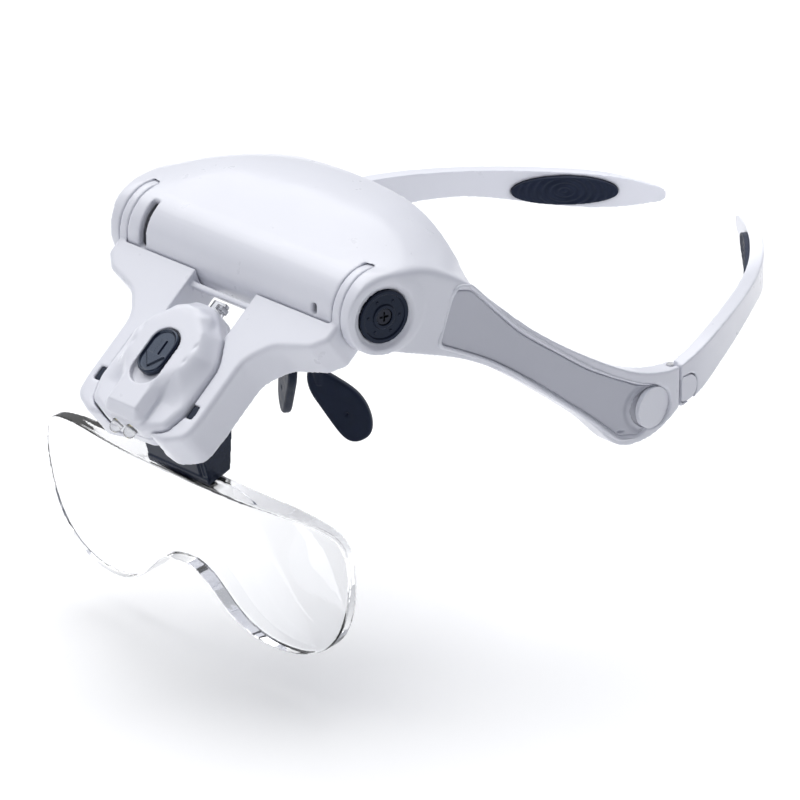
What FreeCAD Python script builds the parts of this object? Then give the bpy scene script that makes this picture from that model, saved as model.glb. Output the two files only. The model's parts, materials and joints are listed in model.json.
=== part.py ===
"""Head visor magnifier with a flip-up lamp yoke, an interchangeable lens and folding temples.

Every sub-part is drawn about the flip axis, the X axis of the drawing: the yoke and lens turn about it.
X points to the wearer's left, Y to the back of the head and Z up. Each sub-part's Placement then
moves it to the object's own origin, midway between the nose pads where the visor sits on the head.
"""

import FreeCAD, Part
import Sketcher
import math
import os
from FreeCAD import Placement, Rotation, Vector

doc = FreeCAD.newDocument("head_visor_magnifier")
sheet = doc.addObject("Spreadsheet::Sheet", "Sizes")

DRIVING_SIZES = {
    # housing and its two hubs
    "barrel_radius": 10.3,
    "wall": 2.0,
    "cheek_half_width": 43.0,
    "groove_inner": 35.2,
    "groove_outer": 38.2,
    "hub_radius": 7.4,
    "turning_gap": 0.35,
    # pivot caps and their screws
    "cap_radius": 6.6,
    "cap_tilt": 13.0,
    "cap_depth": 1.6,
    "cap_rise": 0.3,
    "cap_ring_outer": 5.6,
    "cap_ring_inner": 3.0,
    "cap_ring_depth": 0.4,
    "screw_head_radius": 2.0,
    "screw_head_height": 0.9,
    "screw_shank_radius": 1.15,
    "screw_length": 8.9,
    "screw_cross_width": 0.5,
    "screw_cross_length": 2.4,
    "screw_cross_depth": 0.6,
    "cover_screw_radius": 1.0,
    "cover_screw_length": 5.0,
    # arms, temples and their hinges
    "arm_thickness": 5.0,
    "temple_thickness": 3.6,
    "hinge_pin_radius": 0.9,
    "hinge_pin_length": 9.2,
    "hinge_cap_radius": 5.3,
    "hinge_cap_height": 1.3,
    "latch_spring_length": 3.8,
    "latch_spring_width": 2.4,
    "latch_spring_thickness": 0.2,
    # nose pads
    "nose_pin_radius": 0.9,
    "nose_pin_length": 8.4,
    # yoke and lamp, drawn on the leaning face
    "face_angle": 38.0,
    "yoke_depth": 11.0,
    "yoke_half_width": 19.6,
    "lamp_gap": 0.45,
    "lamp_depth": 7.0,
    "lamp_rise": 1.6,
    "column_rise": 4.9,
    "trunnion_radius": 1.2,
    "trunnion_drop": 31.5,
    "trunnion_length": 4.4,
    "stop_width": 1.9,
    "stop_length": 3.6,
    "stop_height": 2.5,
    # lamp's insides
    "cell_radius": 8.0,
    "cell_height": 1.6,
    "contact_width": 8.0,
    "contact_length": 15.6,
    "contact_thickness": 0.25,
    "board_width": 18.0,
    "board_length": 20.9,
    "board_thickness": 1.0,
    "led_radius": 1.5,
    # switch
    "switch_length": 12.6,
    "switch_width": 8.2,
    "switch_travel": 2.6,
    "switch_body_width": 6.8,
    "switch_body_length": 10.4,
    "switch_body_height": 2.3,
    "switch_slot_width": 3.0,
    "switch_slot_length": 9.6,
    "switch_slot_depth": 1.3,
    # lens and its holder
    "lens_tilt": 5.0,
    "lens_front_radius": 250.0,
    "holder_half_width": 10.6,
    "spigot_half_width": 6.4,
    "spigot_thickness": 3.2,
}

for row, (alias, value) in enumerate(DRIVING_SIZES.items(), start=1):
    sheet.set(f"A{row}", alias.replace("_", " "))
    sheet.set(f"B{row}", str(value))
    sheet.setAlias(f"B{row}", alias)
doc.recompute()


def size(alias):
    """A driving dimension, read back from the sheet."""
    return float(sheet.get(alias))


BARREL_R = size("barrel_radius")
WALL = size("wall")
FLIP_AXIS = Vector(0, -20, 45)

sub_parts = {}


# ---------------------------------------------------------------- helpers


def add_shape(label, shape):
    """A sub-part whose shape is worked out here, placed on the flip axis."""
    feature = doc.addObject("Part::Feature", label)
    feature.Label = label
    feature.Shape = shape
    feature.Placement = Placement(FLIP_AXIS, Rotation()).multiply(shape.Placement)
    sub_parts[label] = feature
    return feature


def add_pair(label, left_shape):
    """The left-hand sub-part and its mirror image."""
    add_shape(f"{label}_left", left_shape)
    add_mirror(label)


def add_mirror(label):
    """The right-hand sub-part: the left one seen in a mirror on the middle plane."""
    image = doc.addObject("Part::Mirroring", f"{label}_right")
    image.Source = sub_parts[f"{label}_left"]
    image.Base = Vector(0, 0, 0)
    image.Normal = Vector(1, 0, 0)
    image.Label = f"{label}_right"
    sub_parts[image.Label] = image


def register(label, item, frame=Placement()):
    """Makes an object a sub-part, placed from its drawing frame onto the flip axis."""
    item.Label = label
    item.Placement = Placement(FLIP_AXIS, Rotation()).multiply(frame)
    sub_parts[label] = item


def primitive(kind, name, place, **expressions):
    """A Part primitive whose sizes are bound to the sheet."""
    item = doc.addObject(f"Part::{kind}", name)
    for side, expression in expressions.items():
        item.setExpression(side, expression)
    item.Placement = place
    return item


def boolean(kind, name, base, tool):
    item = doc.addObject(f"Part::{kind}", name)
    item.Base = base
    item.Tool = tool
    return item


def assembly_of(name, items):
    """Separate solids that share one node."""
    item = doc.addObject("Part::Compound", name)
    item.Links = items
    return item


def at(x, y, z):
    return Placement(Vector(x, y, z), Rotation())


def origin_plane(body, role):
    return next(plane for plane in body.Origin.OriginFeatures if plane.Role == role)


def sketch_on(body, role):
    sketch = body.newObject("Sketcher::SketchObject", f"{body.Name}_sketch")
    sketch.AttachmentSupport = (origin_plane(body, role), [""])
    sketch.MapMode = "FlatFace"
    return sketch


def draw_polygon(sketch, corners):
    """A closed outline; each corner's two coordinates are expressions of the sheet."""
    points = [Vector(sheet_value(across), sheet_value(up), 0) for across, up in corners]
    count = len(points)
    for i in range(count):
        sketch.addGeometry(Part.LineSegment(points[i], points[(i + 1) % count]), False)
    for i in range(count):
        sketch.addConstraint(Sketcher.Constraint("Coincident", i, 2, (i + 1) % count, 1))
    for i, (corner, point) in enumerate(zip(corners, points)):
        for axis, kind, expression, value in (
            (-2, "DistanceX", corner[0], point.x),
            (-1, "DistanceY", corner[1], point.y),
        ):
            if expression == "0":
                sketch.addConstraint(Sketcher.Constraint("PointOnObject", i, 1, axis))
                continue
            index = sketch.addConstraint(Sketcher.Constraint(kind, -1, 1, i, 1, value))
            sketch.setExpression(f"Constraints[{index}]", expression)


def sheet_value(expression):
    return float(sheet.evalExpression(expression))


def turned_body(label, profile):
    """A body turned about Z from a half profile of (radius, height) expressions."""
    body = doc.addObject("PartDesign::Body", label)
    sketch = sketch_on(body, "XZ_Plane")
    draw_polygon(sketch, profile)
    turn = body.newObject("PartDesign::Revolution", f"{label}_turn")
    turn.Profile = sketch
    turn.ReferenceAxis = (sketch, ["V_Axis"])
    turn.Angle = 360
    return body


def padded_body(label, outline, height):
    """A body raised from the XY plane; the outline and the height are expressions."""
    body = doc.addObject("PartDesign::Body", label)
    sketch = sketch_on(body, "XY_Plane")
    draw_polygon(sketch, outline)
    pad = body.newObject("PartDesign::Pad", f"{label}_pad")
    pad.Profile = sketch
    pad.setExpression("Length", height)
    return body


def rectangle(width, length):
    """Four corners centred on the origin, from expressions of the sides."""
    return [
        (f"-{width} / 2", f"-{length} / 2"), (f"{width} / 2", f"-{length} / 2"),
        (f"{width} / 2", f"{length} / 2"), (f"-{width} / 2", f"{length} / 2"),
    ]


def mirrored(shape):
    return shape.mirror(Vector(0, 0, 0), Vector(1, 0, 0))


def both(shape):
    """The shape and its mirror image, as one."""
    return shape.fuse(mirrored(shape))


def spline(points):
    curve = Part.BSplineCurve()
    curve.interpolate([Vector(*p) for p in points])
    return curve.toShape()


def polyline(points):
    return Part.makePolygon([Vector(*p) for p in points])


def face_of(*edges):
    pieces = []
    for edge in edges:
        pieces += edge.Edges
    return Part.Face(Part.Wire(Part.__sortEdges__(pieces)))


def in_side_view(points, x=0.0):
    """(y, z) pairs as points of the plane at x."""
    return [(x, y, z) for y, z in points]


def in_plan(points, z=0.0):
    """(x, y) pairs as points of the plane at z."""
    return [(x, y, z) for x, y in points]


def rounded_outline(corners):
    """A closed face in the XY plane through (x, y, radius) corners, each rounded by its radius."""
    count = len(corners)
    edges = []
    ends = []
    for i, (x, y, radius) in enumerate(corners):
        here = Vector(x, y, 0)
        before = (Vector(*corners[i - 1][:2], 0) - here).normalize()
        after = (Vector(*corners[(i + 1) % count][:2], 0) - here).normalize()
        if radius == 0:
            ends.append((here, here))
            continue
        half = before.getAngle(after) / 2
        reach = radius / math.tan(half)
        middle = (before + after).normalize()
        centre = here + middle * (radius / math.sin(half))
        start = here + before * reach
        finish = here + after * reach
        edges.append(Part.Arc(start, centre - middle * radius, finish).toShape())
        ends.append((start, finish))
    for i in range(count):
        start = ends[i][1]
        finish = ends[(i + 1) % count][0]
        if start.distanceToPoint(finish) > 1e-6:
            edges.append(Part.makeLine(start, finish))
    return Part.Face(Part.Wire(Part.__sortEdges__(edges)))


def block(low, high):
    """A box between two corners."""
    extent = Vector(*high) - Vector(*low)
    return Part.makeBox(extent.x, extent.y, extent.z, Vector(*low))


def rod(radius, start, finish):
    """A round bar from one point to another."""
    along = Vector(*finish) - Vector(*start)
    return Part.makeCylinder(radius, along.Length, Vector(*start), along)


def rounded(shape, radius, keep):
    """The shape with the edges that keep() picks rounded."""
    picked = [edge for edge in shape.Edges if keep(edge)]
    return shape.makeFillet(radius, picked)


# The leaning face that the yoke and the lamp share: x across, u up the face, w out of it.
FACE = Placement(Vector(0, -12.2, -2.6), Rotation(Vector(1, 0, 0), size("face_angle")))


def on_face(shape):
    shape = shape.copy()
    shape.Placement = FACE.multiply(shape.Placement)
    return shape


def tilted_slab(face, top, bottom):
    """A face drawn at w = 0, made solid between w = bottom and w = top."""
    face = face.copy()
    face.translate(Vector(0, 0, bottom))
    return face.extrude(Vector(0, 0, top - bottom))


# ---------------------------------------------------------------- front cover with its arms

GROOVE_IN = size("groove_inner")
GROOVE_OUT = size("groove_outer")
CHEEK_HALF = size("cheek_half_width")
ROOF_SINK = 0.1
ROOF_SWELL = math.radians(3.0)

# stations across the roof: x, crest (y, z), rear edge (y, z), rear edge's foot z
HOOD_STATIONS = (
    (0.0, (16.0, 16.4), (31.0, 14.8), 3.0),
    (20.0, (15.5, 15.7), (30.4, 13.6), 2.0),
    (34.0, (14.5, 13.2), (28.8, 8.4), -4.0),
    (43.0, (13.5, 9.6), (27.6, 1.2), -11.0),
    (52.0, (13.0, 5.6), (27.0, -5.0), -15.0),
)


def roof_start(crest, radius):
    """Where a line to the crest touches the barrel's circle, turned a little so that the roof swells."""
    turn = math.acos(radius / math.hypot(*crest)) - math.atan2(*crest) + ROOF_SWELL
    start = (-radius * math.sin(turn), radius * math.cos(turn))
    return start, Vector(0, math.cos(turn), math.sin(turn))


def roof_section(x, crest, rear, foot, inset=0.0, drop=0.0):
    """The roof cut at x: it leaves the barrel at a tangent and swells to the crest and its rear edge."""
    radius = BARREL_R - ROOF_SINK - inset
    crest = (crest[0], crest[1] - inset)
    rear = (rear[0] - inset, rear[1] - inset)
    start, rising = roof_start(crest, radius)
    points = [Vector(x, *start), Vector(x, *crest), Vector(x, *rear)]
    top = Part.BSplineCurve()
    top.interpolate(Points=points, Tangents=[rising] * 3, TangentFlags=[True, False, False])
    tail = polyline([points[-1], (x, rear[0], foot - drop), (x, 0, -radius - drop), points[0]])
    return Part.Wire([top.toShape()] + tail.Edges)


def roof_loft(limit, inset=0.0, drop=0.0):
    """The left half of the roof behind the barrel, up to x = limit."""
    rows = [(-s[0],) + s[1:] for s in reversed(HOOD_STATIONS[1:])] + list(HOOD_STATIONS)
    wires = [roof_section(*row, inset=inset, drop=drop) for row in rows]
    roof = Part.makeLoft(wires, True, False)
    return roof.common(block((0, -40, -60), (limit, 60, 60)))


# the arm: outer line in plan, top and bottom lines from the side
ARM_PLAN = (
    (40.6, -10.5), (43.0, 0.0), (46.6, 14.0), (49.6, 27.0), (53.0, 35.5),
    (57.4, 43.0), (61.8, 50.5), (65.4, 57.5), (68.6, 65.6), (69.9, 74.0),
)
ARM_TOP = (
    (0.0, 9.5), (9.0, 9.2), (17.0, 6.6), (24.5, 1.6), (33.0, -7.2),
    (43.0, -16.0), (53.0, -22.6), (61.0, -26.6), (67.5, -28.1), (74.0, -28.3),
)
ARM_BOTTOM = (
    (74.0, -39.2), (71.6, -40.8), (68.4, -43.0), (63.6, -45.2), (58.0, -45.6), (52.7, -40.6),
    (44.0, -32.2), (31.8, -22.6), (20.0, -16.2), (10.0, -12.8), (0.0, -9.5),
)
ARM_END = ARM_TOP[-1][0]


def plan_band(line, thickness, low, high):
    """An upright wall that follows a line in plan, the line being its outer face."""
    outer = spline(in_plan(line, low))
    inner = spline(in_plan([inward(line, i, thickness) for i in range(len(line))], low))
    ends = (
        Part.makeLine(outer.Vertexes[0].Point, inner.Vertexes[0].Point),
        Part.makeLine(outer.Vertexes[-1].Point, inner.Vertexes[-1].Point),
    )
    return face_of(outer, inner, *ends).extrude(Vector(0, 0, high - low))


def inside_plan(line, low, high):
    """Everything between the middle plane and an outer line in plan."""
    outer = spline(in_plan(line, low))
    front = outer.Vertexes[0].Point
    rear = outer.Vertexes[-1].Point
    back = polyline([rear, (0, rear.y, low), (0, front.y, low), front])
    return face_of(outer, *back.Edges).extrude(Vector(0, 0, high - low))


def inward(line, i, thickness):
    """The i-th point of a plan line, moved towards the head by the thickness."""
    before = line[max(i - 1, 0)]
    after = line[min(i + 1, len(line) - 1)]
    along = Vector(after[0] - before[0], after[1] - before[1], 0).normalize()
    return (line[i][0] - along.y * thickness, line[i][1] + along.x * thickness)


def arm_profile(x):
    """The arm seen from the side; its round front hides in the cheek."""
    radius = ARM_TOP[0][1]
    front = Part.Arc(Vector(x, 0, -radius), Vector(x, -radius, 0), Vector(x, 0, radius))
    end = Part.makeLine(Vector(x, *ARM_TOP[-1]), Vector(x, *ARM_BOTTOM[0]))
    top = spline(in_side_view(ARM_TOP, x))
    bottom = spline(in_side_view(ARM_BOTTOM, x))
    return face_of(front.toShape(), top, end, bottom)


HINGE = Vector(65.2, 75.4, -34.0)
KNUCKLE_R = 2.2
LUG_HEIGHTS = ((-29.8, -32.2), (-36.0, -38.4))
SKIN_X = 68.3
ARM_KNUCKLES = tuple((low, high) for high, low in LUG_HEIGHTS)
CAP_CENTRE = Vector(68.5, 65.8, -36.9)


def arm_left():
    side = arm_profile(30).extrude(Vector(60, 0, 0))
    wall = plan_band(ARM_PLAN, size("arm_thickness"), -60, 20)
    return side.common(wall)


# the cap's own frame: centre on the cheek's outer face, tilted towards the front
CAP = Placement(
    Vector(43.0, -0.3, -0.6),
    Rotation(Vector(0, 0, 1), -size("cap_tilt")) * Rotation(Vector(0, 1, 0), 90),
)


def at_cap(shape):
    shape = shape.copy()
    shape.Placement = CAP.multiply(shape.Placement)
    return shape


def barrel_left():
    """The barrel and its round cheek, cut off square to the tilted cap."""
    whole = rod(BARREL_R, (0, 0, 0), (CHEEK_HALF + 8, 0, 0))
    outside = at_cap(Part.makeBox(60, 60, 20, Vector(-30, -30, 0.5)))
    return whole.cut(outside)


PANEL_DEPTH = 0.9
PANEL_OUTLINE = (
    (18.6, 2.0, 2.5), (23.8, 0.6, 3.0), (36.0, -13.0, 30.0), (50.5, -24.4, 30.0), (62.0, -30.3, 6.0),
    (68.0, -31.2, 2.0), (68.0, -38.6, 2.0), (62.6, -43.6, 2.0), (57.6, -43.2, 2.0), (51.0, -36.8, 20.0),
    (39.0, -26.2, 40.0), (29.0, -18.8, 30.0), (14.4, -11.2, 2.5),
)


def panel_prism(inset=0.0):
    """The side panel's outline as a bar along X, shrunk by an inset."""
    face = rounded_outline(PANEL_OUTLINE)
    if inset:
        face = Part.Face(face.OuterWire.makeOffset2D(-inset))
    face.Placement = Placement(Vector(30, 0, 0), Rotation(Vector(1, 1, 1), 120))
    return face.extrude(Vector(60, 0, 0))


def outer_skin(depth, inset):
    """The outermost layer of the arm inside the panel's outline."""
    full = plan_band(ARM_PLAN, depth, -60, 20)
    return full.common(panel_prism(inset))


def hinge_lugs(heights, radius, reach):
    """Round lugs about the hinge pin, joined to the piece that lies at the given y."""
    lugs = []
    for low, high in heights:
        lug = Part.makeCylinder(radius, high - low, Vector(HINGE.x, HINGE.y, low))
        web = block(
            (HINGE.x - radius, min(reach, HINGE.y), low), (HINGE.x + radius, max(reach, HINGE.y), high)
        )
        lugs.append(lug.fuse(web))
    return lugs


def make_front_cover():
    roof = roof_loft(HOOD_STATIONS[-1][0]).common(inside_plan(ARM_PLAN, -60, 40))
    half = barrel_left().fuse([roof, arm_left()])
    ring = rod(BARREL_R + 0.35, (GROOVE_IN, 0, 0), (GROOVE_OUT, 0, 0))
    hub = rod(size("hub_radius"), (GROOVE_IN - 1, 0, 0), (GROOVE_OUT + 1, 0, 0))
    tools = [
        rod(BARREL_R - WALL, (0, 0, 0), (GROOVE_IN - WALL, 0, 0)),
        roof_loft(GROOVE_IN - WALL, inset=WALL, drop=6.0),
        ring.cut(hub),
        at_cap(Part.makeCylinder(size("cap_radius") + 0.05, 6, Vector(0, 0, -size("cap_depth")))),
        at_cap(Part.makeCone(7.6, 8.6, 1.2, Vector(0, 0, -0.3))),
        at_cap(Part.makeCylinder(size("screw_shank_radius") + 0.02, 8, Vector(0, 0, -9))),
        outer_skin(PANEL_DEPTH, 0.0),
        Part.makeCylinder(
            size("hinge_cap_radius") + 0.05, 4, CAP_CENTRE + Vector(-0.9, 0, 0), Vector(1, 0, 0)
        ),
        barrel_slot(29.5, 1.6, -6, 10),
        block((60, ARM_END - 1.6, -60), (SKIN_X, ARM_END + 4, 0)),
    ]
    for tool in tools:
        half = half.cut(tool)
    pin_hole = Part.makeCylinder(size("hinge_pin_radius") + 0.02, 30, Vector(HINGE.x, HINGE.y, -48))
    lugs = hinge_lugs(ARM_KNUCKLES, KNUCKLE_R, ARM_END - 2.4)
    half = half.fuse([lug.cut(pin_hole) for lug in lugs])
    whole = both(half)
    return whole.cut(barrel_slot(-30.0, 2.3, -12, 62))


def barrel_slot(x, width, low, high):
    """A slot through the barrel's front wall at x, between two angles above the forward direction."""
    ring = Part.makeCylinder(BARREL_R + 1, width, Vector(x - width / 2, 0, 0), Vector(1, 0, 0), high - low)
    core = rod(BARREL_R - WALL - 0.5, (x - width, 0, 0), (x + width, 0, 0))
    slot = ring.cut(core)
    slot.rotate(Vector(0, 0, 0), Vector(1, 0, 0), FORWARD_FROM_UP - high)
    return slot


# a part cylinder along X starts straight up and sweeps towards the front
FORWARD_FROM_UP = 90.0

add_shape("front_cover", make_front_cover())


def underside_section(x, rear, foot):
    """The inner cover cut at x: a plate that closes the dome from below."""
    reach = rear[0] - WALL - 0.05
    depth = BARREL_R - ROOF_SINK
    slope = (foot + depth) / rear[0]
    bottom = (0.05, -depth), (reach, slope * reach - depth)
    corners = [bottom[0], bottom[1], (reach, bottom[1][1] + WALL), (0.05, WALL - depth)]
    points = in_side_view(corners, x)
    return polyline(points + points[:1])


def make_inner_cover():
    rows = [(-s[0], s[2], s[3]) for s in reversed(HOOD_STATIONS[1:4])]
    rows += [(s[0], s[2], s[3]) for s in HOOD_STATIONS[:4]]
    plate = Part.makeLoft([underside_section(*row) for row in rows], True, False)
    limit = GROOVE_IN - WALL - 0.05
    plate = plate.common(block((-limit, 0, -30), (limit, 60, 60)))
    for x, y in COVER_SCREWS:
        plate = plate.cut(Part.makeCylinder(1.1, 40, Vector(x, y, -30)))
    return plate


COVER_SCREWS = ((-26.0, 6.0), (26.0, 6.0), (-22.0, 24.0), (22.0, 24.0))
COVER_SCREW_FOOT = -8.0
add_shape("inner_cover", make_inner_cover())



# ---------------------------------------------------------------- panels, caps and hinges


def make_side_panel():
    """The inlay: it lies in the arm's recess with a narrow gap all round, a little below the rim."""
    layer = plan_band(ARM_PLAN, PANEL_DEPTH, -60, 20).cut(plan_band(ARM_PLAN, 0.25, -61, 21))
    room_radius = size("hinge_cap_radius") + 0.15
    cap_room = Part.makeCylinder(room_radius, 8, CAP_CENTRE - Vector(4, 0, 0), Vector(1, 0, 0))
    return layer.common(panel_prism(0.25)).cut(cap_room)


add_pair("side_panel", make_side_panel())

pivot_cap = turned_body(
    "pivot_cap_left",
    [
        ("Sizes.screw_shank_radius + 0.05", "0"),
        ("Sizes.cap_radius", "0"),
        ("Sizes.cap_radius", "Sizes.cap_depth + Sizes.cap_rise"),
        ("Sizes.cap_ring_outer", "Sizes.cap_depth + Sizes.cap_rise"),
        ("Sizes.cap_ring_outer", "Sizes.cap_depth + Sizes.cap_rise - Sizes.cap_ring_depth"),
        ("Sizes.cap_ring_inner", "Sizes.cap_depth + Sizes.cap_rise - Sizes.cap_ring_depth"),
        ("Sizes.cap_ring_inner", "Sizes.cap_depth + Sizes.cap_rise"),
        ("Sizes.screw_head_radius + 0.1", "Sizes.cap_depth + Sizes.cap_rise"),
        ("Sizes.screw_head_radius + 0.1", "Sizes.cap_depth - Sizes.screw_head_height"),
        ("Sizes.screw_shank_radius + 0.05", "Sizes.cap_depth - Sizes.screw_head_height"),
    ],
)
register("pivot_cap_left", pivot_cap, CAP.multiply(at(0, 0, -size("cap_depth"))))
add_mirror("pivot_cap")

screw_turned = turned_body(
    "pivot_screw_blank",
    [
        ("0", "0"),
        ("Sizes.screw_shank_radius", "0"),
        ("Sizes.screw_shank_radius", "Sizes.screw_length - Sizes.screw_head_height"),
        ("Sizes.screw_head_radius", "Sizes.screw_length - Sizes.screw_head_height"),
        ("Sizes.screw_head_radius", "Sizes.screw_length"),
        ("0", "Sizes.screw_length"),
    ],
)
pivot_screw = screw_turned
for arm, (width, length) in enumerate(
    [("screw_cross_width", "screw_cross_length"), ("screw_cross_length", "screw_cross_width")]
):
    corner = Vector(-size(width) / 2, -size(length) / 2, size("screw_length") - size("screw_cross_depth"))
    slot = primitive(
        "Box",
        f"screw_slot_{arm}",
        Placement(corner, Rotation()),
        Length=f"Sizes.{width}",
        Width=f"Sizes.{length}",
        Height="Sizes.screw_cross_depth + 0.5",
    )
    pivot_screw = boolean("Cut", f"pivot_screw_slotted_{arm}", pivot_screw, slot)
register("pivot_screw_left", pivot_screw, CAP.multiply(at(0, 0, -size("screw_length"))))
add_mirror("pivot_screw")

hinge_cap = primitive(
    "Cylinder",
    "hinge_cap_left",
    Placement(),
    Radius="Sizes.hinge_cap_radius",
    Height="Sizes.hinge_cap_height",
)
CAP_SEAT = CAP_CENTRE + Vector(-0.9, 0, 0)
register("hinge_cap_left", hinge_cap, Placement(CAP_SEAT, Rotation(Vector(0, 1, 0), 90)))
add_mirror("hinge_cap")

PIN_BOTTOM = (LUG_HEIGHTS[0][0] + LUG_HEIGHTS[1][1] - size("hinge_pin_length")) / 2
hinge_pin = primitive(
    "Cylinder",
    "hinge_pin_left",
    Placement(),
    Radius="Sizes.hinge_pin_radius",
    Height="Sizes.hinge_pin_length",
)
register("hinge_pin_left", hinge_pin, at(HINGE.x, HINGE.y, PIN_BOTTOM))
add_mirror("hinge_pin")

cover_screws = []
for i, (x, y) in enumerate(COVER_SCREWS):
    cover_screws.append(
        primitive(
            "Cylinder",
            f"cover_screw_{i}",
            at(x, y, COVER_SCREW_FOOT),
            Radius="Sizes.cover_screw_radius",
            Height="Sizes.cover_screw_length",
        )
    )
register("cover_screws", assembly_of("cover_screws", cover_screws))

# ---------------------------------------------------------------- temples

TEMPLE_START = ARM_END + 0.45
TEMPLE_PLAN = (
    (69.9, TEMPLE_START), (69.3, 82.0), (66.9, 90.5), (60.4, 106.0), (52.8, 120.0),
    (44.6, 132.0), (37.0, 141.0), (29.0, 149.0), (20.0, 156.6), (10.0, 164.0),
)
TEMPLE_TOP = (
    (TEMPLE_START, -28.3), (82.0, -26.4), (91.0, -24.9), (106.0, -24.2), (121.0, -24.8),
    (131.0, -25.5), (143.0, -26.5), (151.0, -27.6), (155.8, -29.2),
)
TEMPLE_BOTTOM = (
    (155.8, -34.4), (151.0, -35.9), (143.0, -36.2), (132.0, -34.2), (120.0, -32.0),
    (106.0, -32.4), (90.0, -35.2), (82.0, -37.6), (TEMPLE_START, -39.2),
)
TEMPLE_TIP = (158.2, -31.8)
# the rubber pad's frame: along the temple, up, and out of its inner face
PAD = Placement(Vector(32.4, 140.9, -31.2), Rotation(Vector(0, 0, 1), 133.0) * Rotation(Vector(1, 0, 0), 90))
PAD_HALF = (14.0, 3.9)
PAD_SINK = 0.7
PAD_RISE = 1.2
LATCH = Vector(69.75, 77.6, -35.0)
LATCH_SIZE = (5.4, 6.6)


def temple_profile():
    x = 10
    top = spline(in_side_view(TEMPLE_TOP, x))
    bottom = spline(in_side_view(TEMPLE_BOTTOM, x))
    root = Part.makeLine(Vector(x, *TEMPLE_BOTTOM[-1]), Vector(x, *TEMPLE_TOP[0]))
    tip = Part.Arc(Vector(x, *TEMPLE_TOP[-1]), Vector(x, *TEMPLE_TIP), Vector(x, *TEMPLE_BOTTOM[0]))
    return face_of(top, bottom, root, tip.toShape()).extrude(Vector(80, 0, 0))


def pad_layer(gap, sink, rise):
    """The pad's ellipse as a layer that follows the temple's curved inner face."""
    ellipse = Part.Ellipse(Vector(0, 0, -8), PAD_HALF[0] + gap, PAD_HALF[1] + gap).toShape()
    prism = Part.Face(Part.Wire([ellipse])).extrude(Vector(0, 0, 16))
    prism.Placement = PAD.multiply(prism.Placement)
    thickness = size("temple_thickness")
    outer = plan_band(TEMPLE_PLAN, thickness - sink, -61, 1)
    return plan_band(TEMPLE_PLAN, thickness + rise, -60, 0).cut(outer).common(prism)


def latch_outline(gap):
    """The D-shaped latch seen from the side, as a bar along X through the temple's outer face."""
    along, tall = LATCH_SIZE[0] / 2 + gap, LATCH_SIZE[1] / 2 + gap
    corners = [(-along, -tall, 0.8), (along, -tall, 3.0), (along, tall, 3.0), (-along, tall, 0.8)]
    face = rounded_outline(corners)
    face.Placement = Placement(LATCH, Rotation(Vector(1, 1, 1), 120))
    return face


def latch_bar(gap, low, high):
    face = latch_outline(gap)
    face.translate(Vector(low, 0, 0))
    return face.extrude(Vector(high - low, 0, 0))


def make_temple():
    temple = temple_profile().common(plan_band(TEMPLE_PLAN, size("temple_thickness"), -60, 0))
    knuckle_low, knuckle_high = LUG_HEIGHTS[1][0] + 0.3, LUG_HEIGHTS[0][1] - 0.3
    knuckle = hinge_lugs([(knuckle_low, knuckle_high)], KNUCKLE_R, TEMPLE_START + 4.0)[0]
    front_room = block((60, ARM_END - 3, -50), (SKIN_X, TEMPLE_START + 0.6, -20))
    temple = temple.cut(front_room)
    for low, high in ARM_KNUCKLES:
        room = Part.makeCylinder(KNUCKLE_R + 0.3, high - low + 0.6, Vector(HINGE.x, HINGE.y, low - 0.3))
        temple = temple.cut(room)
    temple = temple.fuse(knuckle)
    temple = temple.cut(
        Part.makeCylinder(size("hinge_pin_radius") + 0.03, 30, Vector(HINGE.x, HINGE.y, -48))
    )
    temple = temple.cut(latch_bar(0.3, -2.3, 3))
    return temple.cut(pad_layer(0.05, PAD_SINK, 1.0))


add_pair("temple", make_temple())
add_pair("temple_pad", pad_layer(0.0, PAD_SINK - 0.02, PAD_RISE))
add_pair("latch", latch_bar(0.0, -1.3, -0.1))
LATCH_FLOOR = LATCH + Vector(-2.28, -size("latch_spring_length") / 2, -size("latch_spring_width") / 2)
latch_spring = primitive(
    "Box",
    "latch_spring_left",
    Placement(),
    Length="Sizes.latch_spring_thickness",
    Width="Sizes.latch_spring_length",
    Height="Sizes.latch_spring_width",
)
register("latch_spring_left", latch_spring, Placement(LATCH_FLOOR, Rotation()))
add_mirror("latch_spring")

# ---------------------------------------------------------------- nose pads

NOSE_MIDDLE = Vector(9.3, 18.3, -42.0)
NOSE_NORMAL = Vector(0.56, -0.8285, 0)
NOSE_ALONG = Vector(0.4372, 0.2955, -0.8495)
NOSE_THICKNESS = 2.4
BRIDGE_PIVOT = Vector(4.6, 13.0, -8.6)
# the leaf-shaped paddle: along it, downwards, and across it
NOSE_OUTLINE = (
    (8.7, 1.6), (7.2, -2.0), (2.6, -3.2), (-4.4, -3.6), (-10.6, -3.0), (-13.4, -0.6),
    (-11.2, 2.2), (-7.6, 4.4), (-2.6, 6.6), (2.8, 6.7), (7.2, 4.8),
)


def nose_frame():
    """Along the pad, across it, and out of its face."""
    normal = Vector(NOSE_NORMAL).normalize()
    along = Vector(NOSE_ALONG).normalize()
    across = normal.cross(along)
    matrix = FreeCAD.Matrix(
        along.x, across.x, normal.x, NOSE_MIDDLE.x,
        along.y, across.y, normal.y, NOSE_MIDDLE.y,
        along.z, across.z, normal.z, NOSE_MIDDLE.z,
        0, 0, 0, 1,
    )
    return Placement(matrix)


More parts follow.
